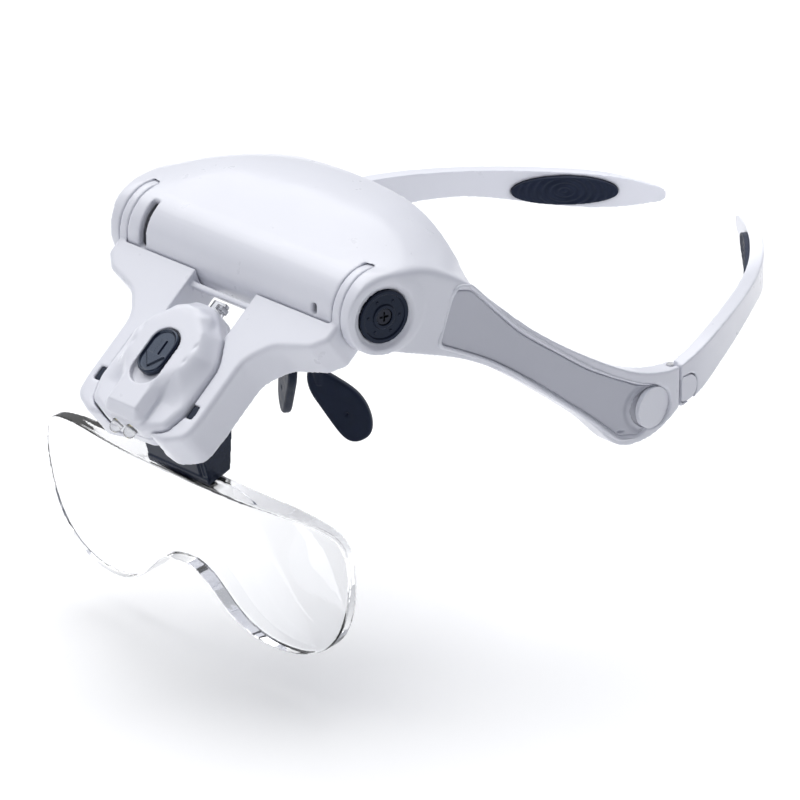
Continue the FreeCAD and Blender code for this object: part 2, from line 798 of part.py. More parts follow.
def make_nose_pad():
    outline = Part.BSplineCurve()
    outline.interpolate([Vector(*point, -NOSE_THICKNESS / 2) for point in NOSE_OUTLINE], PeriodicFlag=True)
    paddle = Part.Face(Part.Wire([outline.toShape()])).extrude(Vector(0, 0, NOSE_THICKNESS))
    paddle = rounded(paddle, 0.8, lambda e: e.BoundBox.ZLength < 0.01)
    paddle.Placement = nose_frame()
    top = nose_frame().multVec(Vector(-9.0, -0.4, 0))
    elbow = Vector(4.8, 13.4, -24.0)
    stem = rod(1.5, elbow, top).fuse([rod(1.5, BRIDGE_PIVOT, elbow), Part.makeSphere(1.6, elbow)])
    collar = rod(2.2, BRIDGE_PIVOT + Vector(0, -2.0, 0), BRIDGE_PIVOT + Vector(0, 2.0, 0))
    hole = rod(0.93, BRIDGE_PIVOT + Vector(0, -4, 0), BRIDGE_PIVOT + Vector(0, 4, 0))
    return paddle.fuse([stem, collar]).cut(hole)


add_pair("nose_pad", make_nose_pad())


def make_nose_bridge():
    """A bracket under the inner cover: two ears hold each nose pad's pivot."""
    low = BRIDGE_PIVOT.z - 2.4
    plate = block((-8.2, 9.0, -6.2), (8.2, 17.0, -4.6))
    ears = []
    for y in (BRIDGE_PIVOT.y - 3.9, BRIDGE_PIVOT.y + 2.3):
        ears.append(block((-7.4, y, low), (7.4, y + 1.6, -5.0)))
    bridge = plate.fuse(ears)
    for x in (-BRIDGE_PIVOT.x, BRIDGE_PIVOT.x):
        bridge = bridge.cut(rod(0.92, (x, 0, BRIDGE_PIVOT.z), (x, 30, BRIDGE_PIVOT.z)))
    return bridge


add_shape("nose_bridge", make_nose_bridge().cut(make_inner_cover()))
nose_pins = []
for i, x in enumerate((-BRIDGE_PIVOT.x, BRIDGE_PIVOT.x)):
    start = Vector(x, BRIDGE_PIVOT.y - size("nose_pin_length") / 2, BRIDGE_PIVOT.z)
    nose_pins.append(
        primitive(
            "Cylinder",
            f"nose_pin_{i}",
            Placement(start, Rotation(Vector(1, 0, 0), -90)),
            Radius="Sizes.nose_pin_radius",
            Height="Sizes.nose_pin_length",
        )
    )
register("nose_pins", assembly_of("nose_pins", nose_pins))

# ---------------------------------------------------------------- yoke

TURNING_R = BARREL_R + size("turning_gap")
RING_SIDE_GAP = 0.2
YOKE_HALF = size("yoke_half_width")
TRUNNION = (-size("trunnion_drop"), -4.2)
STOP_X = 16.0
STOP_FOOT = -2.9

# right half of the yoke on the leaning face: x, u, corner radius
YOKE_SIDE = (
    (GROOVE_OUT - RING_SIDE_GAP, 6.0, 0), (GROOVE_OUT - RING_SIDE_GAP, -2.4, 1.5), (34.6, -5.8, 3.0),
    (24.6, -9.0, 7.0), (YOKE_HALF, -15.0, 8.0), (YOKE_HALF, -33.0, 20.0), (19.0, -38.4, 4.0),
    (12.6, -41.4, 4.5), (6.6, -40.4, 1.5), (6.0, -36.0, 1.0),
)
# right half of the lamp's outline on the same face
LAMP_SIDE = (
    (0.0, -5.6, 0), (3.4, -5.7, 4.0), (10.6, -12.2, 5.0), (14.3, -19.0, 8.0), (14.6, -32.6, 8.0),
    (12.6, -38.4, 3.0), (6.0, -40.9, 2.0), (0.0, -41.2, 0),
)


def whole_outline(side):
    """A closed face from its right half: the corners that lie on the middle line are used once."""
    left = [(-x, u, r) for x, u, r in reversed(side) if x > 0]
    return rounded_outline(list(side) + left)


def lamp_face(gap=0.0):
    face = whole_outline(LAMP_SIDE)
    if gap:
        face = Part.Face(face.OuterWire.makeOffset2D(gap))
    return face


def yoke_ring(side):
    """The C-shaped ring that snaps over a hub, open to the back."""
    low = GROOVE_IN + RING_SIDE_GAP
    high = GROOVE_OUT - RING_SIDE_GAP
    inner = size("hub_radius") + 0.25
    ring = rod(BARREL_R - 0.05, (low, 0, 0), (high, 0, 0)).cut(rod(inner, (low, 0, 0), (high, 0, 0)))
    ring = ring.cut(block((low - 1, 4.6, -20), (high + 1, 20, 20)))
    return ring if side > 0 else mirrored(ring)


def make_yoke():
    depth = size("yoke_depth")
    slab = tilted_slab(whole_outline(YOKE_SIDE), 0, -depth)
    slab = rounded(slab, 1.2, lambda e: e.BoundBox.ZMin > -0.01 and e.BoundBox.YMax < 0.5)
    slab = slab.cut(tilted_slab(lamp_face(size("lamp_gap")), 5, -depth + 1.8))
    window = rounded_outline(((10.4, 8, 0), (10.4, -16, 2), (-10.4, -16, 2), (-10.4, 8, 0)))
    slab = slab.cut(tilted_slab(window, 5, -depth - 5))
    for x in (-STOP_X, STOP_X):
        notch = block((x - 1.15, TRUNNION[0] - 1.9, -3.0), (x + 1.15, TRUNNION[0] + 1.9, 2.0))
        slab = slab.cut(notch)
    bearing = rod(size("trunnion_radius") + 0.03, (-17.0, *TRUNNION), (17.0, *TRUNNION))
    slab = on_face(slab.cut(bearing))
    reach = GROOVE_IN + RING_SIDE_GAP
    slab = slab.cut(rod(TURNING_R, (-reach, 0, 0), (reach, 0, 0)))
    slab = slab.cut(rod(size("hub_radius") + 0.25, (-50, 0, 0), (50, 0, 0)))
    bar = on_face(block((-11.0, -1.9, -3.4), (11.0, -0.4, -1.6)))
    return slab.fuse([yoke_ring(1), yoke_ring(-1), bar])


add_shape("yoke", make_yoke())

trunnion_stops = []
for i, x in enumerate((-STOP_X, STOP_X)):
    corner = Vector(x - size("stop_width") / 2, TRUNNION[0] - size("stop_length") / 2, STOP_FOOT)
    trunnion_stops.append(
        primitive(
            "Box",
            f"trunnion_stop_{i}",
            Placement(corner, Rotation()),
            Length="Sizes.stop_width",
            Width="Sizes.stop_length",
            Height="Sizes.stop_height",
        )
    )
register("trunnion_stops", assembly_of("trunnion_stops", trunnion_stops), FACE)

# ---------------------------------------------------------------- lamp

LAMP_DEPTH = size("lamp_depth")
LAMP_SPLIT = -3.6
SHELL = 1.2
RISE = size("lamp_rise")
COLUMN_RISE = size("column_rise")
SWITCH_U = -22.5
LED_TOP = -36.5
LED_END = -42.0
LED_HEIGHT = -0.9
COLUMN = ((5.8, -8.2, 2.6), (9.2, -14.6, 4.0), (8.6, -25.0, 9.0), (6.9, -31.0, 9.0), (6.9, -40.2, 2.6))
COLUMN_BEVEL = 2.3


def oval(length, width, middle_u, top, bottom):
    """A slab with round ends, its length along u."""
    half = length / 2
    radius = width / 2
    corners = [
        (radius, middle_u + half, radius * 0.98), (radius, middle_u - half, radius * 0.98),
        (-radius, middle_u - half, radius * 0.98), (-radius, middle_u + half, radius * 0.98),
    ]
    return tilted_slab(rounded_outline(corners), top, bottom)


def make_lamp_front():
    body = tilted_slab(lamp_face(), RISE, LAMP_SPLIT + 0.05)
    body = rounded(body, 1.7, lambda e: e.BoundBox.ZMin > RISE - 0.01)
    column = tilted_slab(whole_outline(COLUMN), COLUMN_RISE, 0)
    top_edges = [edge for edge in column.Edges if edge.BoundBox.ZMin > COLUMN_RISE - 0.01]
    column = column.makeChamfer(COLUMN_BEVEL, top_edges)
    body = body.fuse(column)
    body = body.cut(tilted_slab(lamp_face(-SHELL), 0.2, -20))
    body = body.cut(tilted_slab(lamp_face(-SHELL).common(tall_room()), 2.6, 0.1))
    travel = size("switch_travel")
    seat_length = size("switch_length") + travel + 0.8
    seat = oval(seat_length, size("switch_width") + 0.8, SWITCH_U - travel / 2, 9, 3.4)
    body = body.cut(seat)
    body = body.cut(block((-1.4, SWITCH_U - 3.2 - travel, 0), (1.4, SWITCH_U + 3.2, 6)))
    for x in (-2.4, 2.4):
        body = body.cut(led_room(x, 0.05))
    return body.cut(rod(size("trunnion_radius") + 0.01, (-17, *TRUNNION), (17, *TRUNNION)))


def tall_room():
    """The room under the raised column, seen from the front."""
    return rounded_outline(((5.2, -14, 1), (5.2, -37, 1), (-5.2, -37, 1), (-5.2, -14, 1)))


def led_room(x, gap):
    """The room for a clear lamp with a round end, pointing down the face."""
    radius = size("led_radius") + gap
    stem = rod(radius, (x, LED_TOP + gap, LED_HEIGHT), (x, LED_END, LED_HEIGHT))
    return stem.fuse(Part.makeSphere(radius, Vector(x, LED_END, LED_HEIGHT)))


def make_lamp_back():
    body = tilted_slab(lamp_face(), LAMP_SPLIT - 0.05, -LAMP_DEPTH)
    body = rounded(body, 0.8, lambda e: e.BoundBox.ZMax < -LAMP_DEPTH + 0.01)
    body = body.cut(tilted_slab(lamp_face(-SHELL), 0, -LAMP_DEPTH + 0.8))
    return body.cut(rod(size("trunnion_radius") + 0.01, (-17, *TRUNNION), (17, *TRUNNION)))


add_shape("lamp_front_shell", on_face(make_lamp_front()))
add_shape("lamp_back_shell", on_face(make_lamp_back()))

CELL_FLOOR = -LAMP_DEPTH + 1.0
cells = []
for i in range(2):
    height = CELL_FLOOR + i * (size("cell_height") + 0.05)
    cells.append(
        primitive(
            "Cylinder",
            f"coin_cell_{i}",
            at(0, -19.6, height),
            Radius="Sizes.cell_radius",
            Height="Sizes.cell_height",
        )
    )
register("coin_cells", assembly_of("coin_cells", cells), FACE)

contact = padded_body(
    "cell_contact", rectangle("Sizes.contact_width", "Sizes.contact_length"), "Sizes.contact_thickness"
)
register("cell_contact", contact, FACE.multiply(at(0, -20.8, -2.55)))

board = padded_body(
    "led_board", rectangle("Sizes.board_width", "Sizes.board_length"), "Sizes.board_thickness"
)
register("led_board", board, FACE.multiply(at(0, -24.95, -1.9)))

leds = []
for i, x in enumerate((-2.4, 2.4)):
    stem = primitive(
        "Cylinder",
        f"led_stem_{i}",
        Placement(Vector(x, LED_TOP, LED_HEIGHT), Rotation(Vector(1, 0, 0), 90)),
        Radius="Sizes.led_radius",
    )
    stem.Height = LED_TOP - LED_END
    dome = primitive("Sphere", f"led_dome_{i}", at(x, LED_END, LED_HEIGHT), Radius="Sizes.led_radius")
    leds.append(boolean("Fuse", f"led_{i}", stem, dome))
register("leds", assembly_of("leds", leds), FACE)

switch_box = padded_body(
    "switch_box", rectangle("Sizes.switch_body_width", "Sizes.switch_body_length"), "Sizes.switch_body_height"
)
switch_box.Placement = at(0, SWITCH_U - 1.0, -0.9)
slider_room = padded_body(
    "slider_room",
    rectangle("Sizes.switch_slot_width", "Sizes.switch_slot_length"),
    "Sizes.switch_slot_depth + 1",
)
slider_room.Placement = at(0, SWITCH_U - 1.2, 1.4 - size("switch_slot_depth"))
register("switch_body", boolean("Cut", "switch_body", switch_box, slider_room), FACE)

knob = oval(size("switch_length"), size("switch_width"), SWITCH_U, 5.4, 3.7)
knob = rounded(knob, 0.6, lambda e: e.BoundBox.ZMin > 5.39)
knob = knob.fuse(block((-1.1, SWITCH_U - 2.6, 0.3), (1.1, SWITCH_U + 2.6, 4)))
knob = knob.fuse(block((-0.5, SWITCH_U - 3.4, 5.2), (0.5, SWITCH_U + 3.4, 5.8)))
knob = knob.fuse(block((-2.0, SWITCH_U - 4.4, 5.2), (2.0, SWITCH_U - 3.4, 5.8)))
add_shape("switch_knob", on_face(knob))

trunnion_pins = []
for i, turn in enumerate((90, -90)):
    start = Vector(math.copysign(12.4, turn), *TRUNNION)
    trunnion_pins.append(
        primitive(
            "Cylinder",
            f"trunnion_pin_{i}",
            Placement(start, Rotation(Vector(0, 1, 0), turn)),
            Radius="Sizes.trunnion_radius",
            Height="Sizes.trunnion_length",
        )
    )
register("trunnion_pins", assembly_of("trunnion_pins", trunnion_pins), FACE)

# ---------------------------------------------------------------- lens, its holder and spigot

LENS = Placement(Vector(0, -22.0, -46.0), Rotation(Vector(1, 0, 0), 90 + size("lens_tilt")))
LENS_BACK = -1.4
LENS_MIDDLE = 8.4
LENS_POINTS = (
    (0.0, -23.6), (5.2, -24.5), (10.0, -27.9), (15.0, -32.8), (21.4, -36.6), (29.6, -38.2),
    (38.2, -37.2), (45.6, -33.0), (50.6, -25.6), (53.0, -16.0), (53.0, -8.3), (50.8, -3.5),
    (45.6, -1.3), (25.0, -0.4), (0.0, 0.0),
)


def in_lens(shape):
    shape = shape.copy()
    shape.Placement = LENS.multiply(shape.Placement)
    return shape


def make_lens():
    right = list(LENS_POINTS)
    left = [(-x, v) for x, v in reversed(right) if x > 0]
    curve = Part.BSplineCurve()
    curve.interpolate([Vector(x, v, LENS_BACK) for x, v in right + left], PeriodicFlag=True)
    face = Part.Face(Part.Wire([curve.toShape()]))
    blank = face.extrude(Vector(0, 0, 14))
    tab = block((-7.0, -2.0, LENS_BACK), (7.0, 5.0, LENS_BACK + 3.0))
    radius = size("lens_front_radius")
    ball = Part.makeSphere(radius, Vector(0, -22, LENS_BACK + LENS_MIDDLE - radius))
    return in_lens(blank.common(ball).fuse(tab))


HOLDER_PROFILE = ((-26.6, -46.4), (-19.9, -44.3), (-18.6, -24.0), (-33.5, -24.0))
HOLDER_HALF = size("holder_half_width")
SPIGOT_HALF = size("spigot_half_width")


def make_holder():
    points = in_side_view(HOLDER_PROFILE, -HOLDER_HALF)
    body = Part.Face(polyline(points + points[:1])).extrude(Vector(2 * HOLDER_HALF, 0, 0))
    above = on_face(block((-30, -80, -size("yoke_depth") - 0.35), (30, 30, 40)))
    body = body.cut(above)
    socket = in_lens(block((-SPIGOT_HALF - 0.1, 6.4, -1.7), (SPIGOT_HALF + 0.1, 40, 1.7)))
    slot = in_lens(block((-7.05, -8, LENS_BACK - 0.05), (7.05, 5.05, LENS_BACK + 3.05)))
    return body.cut(socket).cut(slot).cut(make_lens())


def make_spigot():
    """The bar under the yoke's rear plate that the lens holder slides on."""
    bar = in_lens(block((-SPIGOT_HALF, 6.8, -1.6), (SPIGOT_HALF, 40, 1.6)))
    above = on_face(block((-30, -80, -size("yoke_depth")), (30, 30, 40)))
    return bar.cut(above)


add_shape("lens", make_lens())
add_shape("lens_holder", make_holder())
add_shape("lens_spigot", make_spigot())

# ---------------------------------------------------------------- checks and files

doc.recompute()
for item in doc.Objects:
    if {"Invalid", "Error"} & set(item.State):
        raise RuntimeError(f"{item.Label} failed: {item.State}")
os.makedirs("parts", exist_ok=True)
for label, part in sub_parts.items():
    shape = part.Shape
    if shape.isNull() or not shape.isValid() or shape.Volume <= 0:
        raise RuntimeError(f"{label} has no sound shape")
    print(f"{label}: {len(shape.Solids)} solid(s), {shape.Volume:.1f} mm3")
    shape.exportStep(f"parts/{label}.step")
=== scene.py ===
"""Looks of the head visor magnifier: smooth mouldings, a polished clear lens, rubber pads, soft light."""

import json
import math

import bmesh
import bpy
import numpy as np
from mathutils import Matrix, Vector
from mathutils.bvhtree import BVHTree


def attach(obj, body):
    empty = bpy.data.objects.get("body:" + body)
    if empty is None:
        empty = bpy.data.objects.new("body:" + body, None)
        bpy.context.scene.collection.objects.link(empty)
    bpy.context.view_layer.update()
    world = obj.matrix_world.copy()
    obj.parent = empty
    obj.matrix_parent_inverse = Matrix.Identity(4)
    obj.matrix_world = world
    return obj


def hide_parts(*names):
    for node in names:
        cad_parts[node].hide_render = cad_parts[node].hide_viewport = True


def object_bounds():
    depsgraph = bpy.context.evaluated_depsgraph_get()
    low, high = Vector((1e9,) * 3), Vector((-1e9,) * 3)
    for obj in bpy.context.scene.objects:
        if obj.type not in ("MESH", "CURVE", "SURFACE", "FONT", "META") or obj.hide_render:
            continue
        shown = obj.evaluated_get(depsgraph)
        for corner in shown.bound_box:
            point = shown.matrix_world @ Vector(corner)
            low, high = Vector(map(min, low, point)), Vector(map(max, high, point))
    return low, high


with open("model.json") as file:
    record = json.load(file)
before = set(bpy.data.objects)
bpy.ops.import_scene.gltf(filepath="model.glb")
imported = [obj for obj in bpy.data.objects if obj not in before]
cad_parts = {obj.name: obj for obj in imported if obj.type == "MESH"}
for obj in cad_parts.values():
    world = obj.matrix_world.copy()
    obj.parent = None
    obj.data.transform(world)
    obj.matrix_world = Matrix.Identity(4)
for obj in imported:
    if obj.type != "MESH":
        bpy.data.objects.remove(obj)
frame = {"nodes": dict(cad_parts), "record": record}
cad_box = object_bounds()

MM = 0.001
SIDES = (("left", Matrix.Identity(4)), ("right", Matrix.Diagonal((-1.0, 1.0, 1.0, 1.0))))

# ---------------------------------------------------------------- materials


def new_material(name):
    """A material with nothing in it but the shader, which is given back too."""
    material = bpy.data.materials.new(name)
    material.use_nodes = True
    nodes = material.node_tree.nodes
    nodes.clear()
    output = nodes.new("ShaderNodeOutputMaterial")
    shader = nodes.new("ShaderNodeBsdfPrincipled")
    material.node_tree.links.new(shader.outputs["BSDF"], output.inputs["Surface"])
    return material, shader


def add_node(material, kind, **inputs):
    """A shader node with its inputs set or linked."""
    node = material.node_tree.nodes.new(kind)
    set_inputs(material, node, **inputs)
    return node


def set_inputs(material, node, **inputs):
    """Sets inputs by name, or links them where the value is an output."""
    for name, value in inputs.items():
        socket = node.inputs[name.replace("_", " ")]
        if isinstance(value, bpy.types.NodeSocket):
            material.node_tree.links.new(value, socket)
        else:
            socket.default_value = value


def position(material):
    """The place on the object, in metres."""
    return add_node(material, "ShaderNodeTexCoord").outputs["Object"]


def noise(material, scale, detail=3.0, roughness=0.55):
    """Cloudy noise, with its scale per metre."""
    node = add_node(material, "ShaderNodeTexNoise", Vector=position(material), Scale=scale, Detail=detail)
    node.inputs["Roughness"].default_value = roughness
    return node.outputs["Fac"]


def ramp(material, factor, stops):
    """A colour ramp: stops are (place, grey or rgb)."""
    node = add_node(material, "ShaderNodeValToRGB", Fac=factor)
    elements = node.color_ramp.elements
    while len(elements) < len(stops):
        elements.new(0.5)
    for element, (place, colour) in zip(elements, stops):
        element.position = place
        rgb = colour if isinstance(colour, tuple) else (colour,) * 3
        element.color = (*rgb, 1.0)
    return node.outputs["Color"]


def bump(material, height, distance, strength):
    """A normal from a height of 0 to 1, which stands for a distance in metres."""
    node = add_node(material, "ShaderNodeBump", Height=height, Distance=distance, Strength=strength)
    return node.outputs["Normal"]


def mix_heights(material, first, second, share):
    """The first height plus a share of the second."""
    node = material.node_tree.nodes.new("ShaderNodeMath")
    node.operation = "MULTIPLY_ADD"
    material.node_tree.links.new(second, node.inputs[0])
    node.inputs[1].default_value = share
    material.node_tree.links.new(first, node.inputs[2])
    return node.outputs["Value"]


def white_plastic(name, tone, low, high):
    """Moulded plastic with roughness from low to high: faint flow in the colour, and orange peel."""
    material, shader = new_material(name)
    flow = noise(material, 60.0, 4.0)
    shade = tuple(0.985 * channel for channel in tone)
    set_inputs(material, shader, Base_Color=ramp(material, flow, ((0.35, shade), (0.65, tone))))
    smudges = noise(material, 160.0, 5.0, 0.6)
    set_inputs(material, shader, Roughness=ramp(material, smudges, ((0.3, low), (0.75, high))))
    peel = noise(material, 900.0, 2.0)
    grain = noise(material, 5200.0, 2.0)
    height = mix_heights(material, peel, grain, 0.25)
    set_inputs(material, shader, Normal=bump(material, height, 0.00002, 0.25))
    shader.inputs["IOR"].default_value = 1.5
    shader.inputs["Coat Weight"].default_value = 0.25
    shader.inputs["Coat Roughness"].default_value = 0.12
    return material


# reflections in the dark parts are bluish
COOL_TINT = (0.62, 0.76, 1.0, 1.0)


def black_plastic(name, tone, low, high, grain_depth):
    """Dark moulded plastic with a spark-eroded grain and paler rubbed patches."""
    material, shader = new_material(name)
    worn = noise(material, 220.0, 5.0, 0.62)
    rubbed = tuple(min(1.0, 1.5 * channel + 0.001) for channel in tone)
    set_inputs(material, shader, Base_Color=ramp(material, worn, ((0.45, tone), (0.8, rubbed))))
    set_inputs(material, shader, Roughness=ramp(material, worn, ((0.3, low), (0.75, high))))
    set_inputs(material, shader, Normal=bump(material, noise(material, 4200.0, 3.0), grain_depth, 0.6))
    shader.inputs["IOR"].default_value = 1.5
    shader.inputs["Specular IOR Level"].default_value = 0.25
    shader.inputs["Specular Tint"].default_value = COOL_TINT
    return material


def rubber(name, tone):
    """Soft matt rubber, mottled and faintly pitted."""
    material, shader = new_material(name)
    mottled = noise(material, 420.0, 6.0, 0.65)
    pale = tuple(1.5 * channel + 0.001 for channel in tone)
    set_inputs(material, shader, Base_Color=ramp(material, mottled, ((0.35, tone), (0.75, pale))))
    set_inputs(material, shader, Roughness=ramp(material, mottled, ((0.3, 0.46), (0.8, 0.66))))
    set_inputs(material, shader, Normal=bump(material, noise(material, 2600.0, 4.0), 0.00008, 0.6))
    shader.inputs["Sheen Weight"].default_value = 0.03
    shader.inputs["Specular IOR Level"].default_value = 0.3
    shader.inputs["Specular Tint"].default_value = COOL_TINT
    return material


def clear_plastic(name, tint, ior, roughness):
    """Clear moulding: polished, with the faintest ripple and dull smears."""
    material, shader = new_material(name)
    shader.inputs["Base Color"].default_value = (*tint, 1.0)
    shader.inputs["Transmission Weight"].default_value = 1.0
    shader.inputs["IOR"].default_value = ior
    marks = noise(material, 700.0, 6.0, 0.7)
    dulled = roughness + 0.035
    set_inputs(material, shader, Roughness=ramp(material, marks, ((0.55, roughness), (0.8, dulled))))
    set_inputs(material, shader, Normal=bump(material, noise(material, 70.0, 2.0), 0.00003, 0.15))
    return material


def metal(name, tone, roughness):
    """Plated metal with fine duller specks."""
    material, shader = new_material(name)
    shader.inputs["Metallic"].default_value = 1.0
    flecks = noise(material, 1800.0, 4.0)
    dull = tuple(0.8 * channel for channel in tone)
    set_inputs(material, shader, Base_Color=ramp(material, flecks, ((0.3, dull), (0.7, tone))))
    dulled = roughness + 0.15
    set_inputs(material, shader, Roughness=ramp(material, flecks, ((0.3, roughness), (0.8, dulled))))
    set_inputs(material, shader, Normal=bump(material, flecks, 0.00003, 0.4))
    return material


def board(name):
    """Green solder mask over a faint pattern of tracks."""
    material, shader = new_material(name)
    tracks = add_node(material, "ShaderNodeTexBrick", Vector=position(material), Scale=260.0)
    tracks.inputs["Color1"].default_value = (0.01, 0.11, 0.045, 1.0)
    tracks.inputs["Color2"].default_value = (0.012, 0.13, 0.05, 1.0)
    tracks.inputs["Mortar"].default_value = (0.03, 0.22, 0.1, 1.0)
    set_inputs(material, shader, Base_Color=tracks.outputs["Color"])
    grain = noise(material, 900.0)
    set_inputs(material, shader, Roughness=ramp(material, grain, ((0.3, 0.28), (0.8, 0.45))))
    set_inputs(material, shader, Normal=bump(material, tracks.outputs["Fac"], 0.00005, 0.4))
    return material


def phosphor(name):
    """The yellow grains over a lamp's chip."""
    material, shader = new_material(name)
    grains = noise(material, 3000.0, 3.0)
    tones = ((0.3, (0.75, 0.6, 0.12)), (0.7, (0.85, 0.74, 0.25)))
    set_inputs(material, shader, Base_Color=ramp(material, grains, tones))
    shader.inputs["Roughness"].default_value = 0.6
    return material


FINISHES = {
    "white_plastic": white_plastic("white_gloss_plastic", (0.67, 0.68, 0.74), 0.27, 0.34),
    # the side panels are the same white plastic with a satin finish; their tone is darkened to paint in
    # the shade that falls on the arms' outer faces
    "panel_white": white_plastic("panel_satin_painted_shade", (0.46, 0.47, 0.53), 0.38, 0.46),
    "black_plastic": black_plastic("black_plastic", (0.004, 0.006, 0.016), 0.16, 0.26, 0.00002),
    "dark_plastic": black_plastic("dark_plastic", (0.03, 0.03, 0.035), 0.45, 0.6, 0.00008),
    "black_rubber": rubber("black_rubber", (0.004, 0.006, 0.017)),
    "clear_acrylic": clear_plastic("clear_acrylic", (0.985, 0.99, 1.0), 1.49, 0.0),
    "clear_led": clear_plastic("clear_epoxy", (0.98, 0.98, 0.96), 1.52, 0.02),
    "steel": metal("plated_steel", (0.62, 0.62, 0.64), 0.24),
    "black_steel": metal("blackened_steel", (0.03, 0.032, 0.042), 0.3),
    "cell_steel": metal("cell_steel", (0.72, 0.72, 0.73), 0.18),
    "board_green": board("solder_mask"),
}

for entry in frame["record"]["subparts"]:
    node = frame["nodes"][entry["node"]]
    node.data.materials.clear()
    node.data.materials.append(FINISHES[entry["material_slot"]])

BODIES = frame["record"]["behaviour"]["bodies"]
BODY_OF = {node: body for body, nodes in BODIES.items() for node in nodes}
SLOT_OF = {entry["node"]: entry["material_slot"] for entry in frame["record"]["subparts"]}

# ---------------------------------------------------------------- softened mouldings


def apply_modifiers(piece):
    """The piece's mesh with its modifiers worked in."""
    evaluated = piece.evaluated_get(bpy.context.evaluated_depsgraph_get())
    mesh = bpy.data.meshes.new_from_object(evaluated)
    piece.modifiers.clear()
    piece.data = mesh


def numbers_of(source, name):
    """A vector of each vertex, as rows."""
    values = np.empty(3 * len(source))
    source.foreach_get(name, values)
    return values.reshape(-1, 3)


def neighbour_means(mesh):
    """A function that gives every vertex the mean of its neighbours' rows."""
    count = len(mesh.vertices)
    ends = np.empty(2 * len(mesh.edges), dtype=np.int64)
    mesh.edges.foreach_get("vertices", ends)
    first, second = ends.reshape(-1, 2).T
    neighbours = np.bincount(ends, minlength=count)[:, None]

    def means(rows):
        sums = [
            np.bincount(first, column[second], count) + np.bincount(second, column[first], count)
            for column in rows.T
        ]
        return np.stack(sums, axis=1) / neighbours

    return means


# a point is marked where its normal turns this far from those round it, and is near an edge where the
# share of marked points round it is above EDGE_CROWD
MARK_TURN = math.radians(1.5)
EDGE_CROWD = 0.2
NORMAL_ROUNDS = 12
CROWD_ROUNDS = 40
REACH_ROUNDS = 4
EVEN_ROUNDS = 30


def clear_marks(mesh):
    """Evens out isolated marks, and leaves edges, where turned normals crowd."""
    means = neighbour_means(mesh)
    normals = numbers_of(mesh.vertex_normals, "vector")
    around = normals
    for _ in range(NORMAL_ROUNDS):
        around = 0.5 * (around + means(around))
    around /= np.linalg.norm(around, axis=1)[:, None]
    turned = ((normals * around).sum(axis=1) < math.cos(MARK_TURN))[:, None].astype(float)
    crowd = turned
    for _ in range(CROWD_ROUNDS):
        crowd = 0.5 * (crowd + means(crowd))
    open_face = crowd < EDGE_CROWD
    share = turned * open_face
    for _ in range(REACH_ROUNDS):
        share = np.maximum(share, means(share) > 0.0)
    share *= 0.5 * open_face
    points = numbers_of(mesh.vertices, "co")
    for _ in range(EVEN_ROUNDS):
        points += (means(points) - points) * share
    mesh.vertices.foreach_set("co", points.ravel())
    mesh.update()


# mouldings with larger voxels than this are cleared of marks
COARSE = 0.22 * MM


def soften(node, voxel, rounds):
    """A moulding made from the CAD node, with its sharp edges rounded as a mould rounds them."""
    source = frame["nodes"][node]
    piece = bpy.data.objects.new(f"{node}_moulding", source.data.copy())
    bpy.context.scene.collection.objects.link(piece)
    piece.matrix_world = source.matrix_world.copy()
    remesh = piece.modifiers.new("remesh", "REMESH")
    remesh.mode = "VOXEL"
    remesh.voxel_size = voxel
    smooth = piece.modifiers.new("smooth", "SMOOTH")
    smooth.factor = 0.5
    smooth.iterations = rounds
    bpy.context.view_layer.update()
    apply_modifiers(piece)
    if voxel > COARSE:
        clear_marks(piece.data)
    piece.data.materials.clear()
    piece.data.materials.append(FINISHES[SLOT_OF[node]])
    piece.data.shade_smooth()
    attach(piece, BODY_OF[node])
    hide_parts(node)
    return piece


# each node's voxel and rounds of smoothing
MOULDINGS = {
    "front_cover": (0.4 * MM, 4),
    "yoke": (0.35 * MM, 4),
    "lamp_front_shell": (0.25 * MM, 3),
    "lamp_back_shell": (0.25 * MM, 3),
    "temple_left": (0.3 * MM, 4),
    "temple_right": (0.3 * MM, 4),
    "lens_holder": (0.2 * MM, 3),
    "lens": (0.3 * MM, 12),
    "nose_pad_left": (0.2 * MM, 4),
    "nose_pad_right": (0.2 * MM, 4),
    "temple_pad_left": (0.2 * MM, 3),
    "temple_pad_right": (0.2 * MM, 3),
    "switch_knob": (0.1 * MM, 3),
    "side_panel_left": (0.2 * MM, 2),
    "side_panel_right": (0.2 * MM, 2),
    "hinge_cap_left": (0.12 * MM, 4),
    "hinge_cap_right": (0.12 * MM, 4),
    "pivot_cap_left": (0.12 * MM, 2),
    "pivot_cap_right": (0.12 * MM, 2),
    "pivot_screw_left": (0.07 * MM, 2),
    "pivot_screw_right": (0.07 * MM, 2),
    "latch_left": (0.12 * MM, 3),
    "latch_right": (0.12 * MM, 3),
    "trunnion_stops": (0.1 * MM, 2),
    "nose_bridge": (0.15 * MM, 2),
}
MOULDED = {node: soften(node, voxel, rounds) for node, (voxel, rounds) in MOULDINGS.items()}

# ---------------------------------------------------------------- relief worked into the mouldings


def local_frame(origin, along, across, out):
    """A frame as a matrix, from its origin in mm and its three axes."""
    columns = [Vector(axis).normalized() for axis in (along, across, out)]
    turn = Matrix(columns).transposed().to_4x4()
    return Matrix.Translation(Vector(origin) * MM) @ turn


def step(start, end, value):
    """0 before start, 1 after end, smooth between."""
    t = np.clip((value - start) / (end - start), 0.0, 1.0)
    return t * t * (3.0 - 2.0 * t)


def seen_from(space, piece, points):
    """The matrix from the piece into the frame, and the points' places there in mm."""
    to_local = np.array(space.inverted() @ piece.matrix_world)
    return to_local, (points @ to_local[:3, :3].T + to_local[:3, 3]) / MM


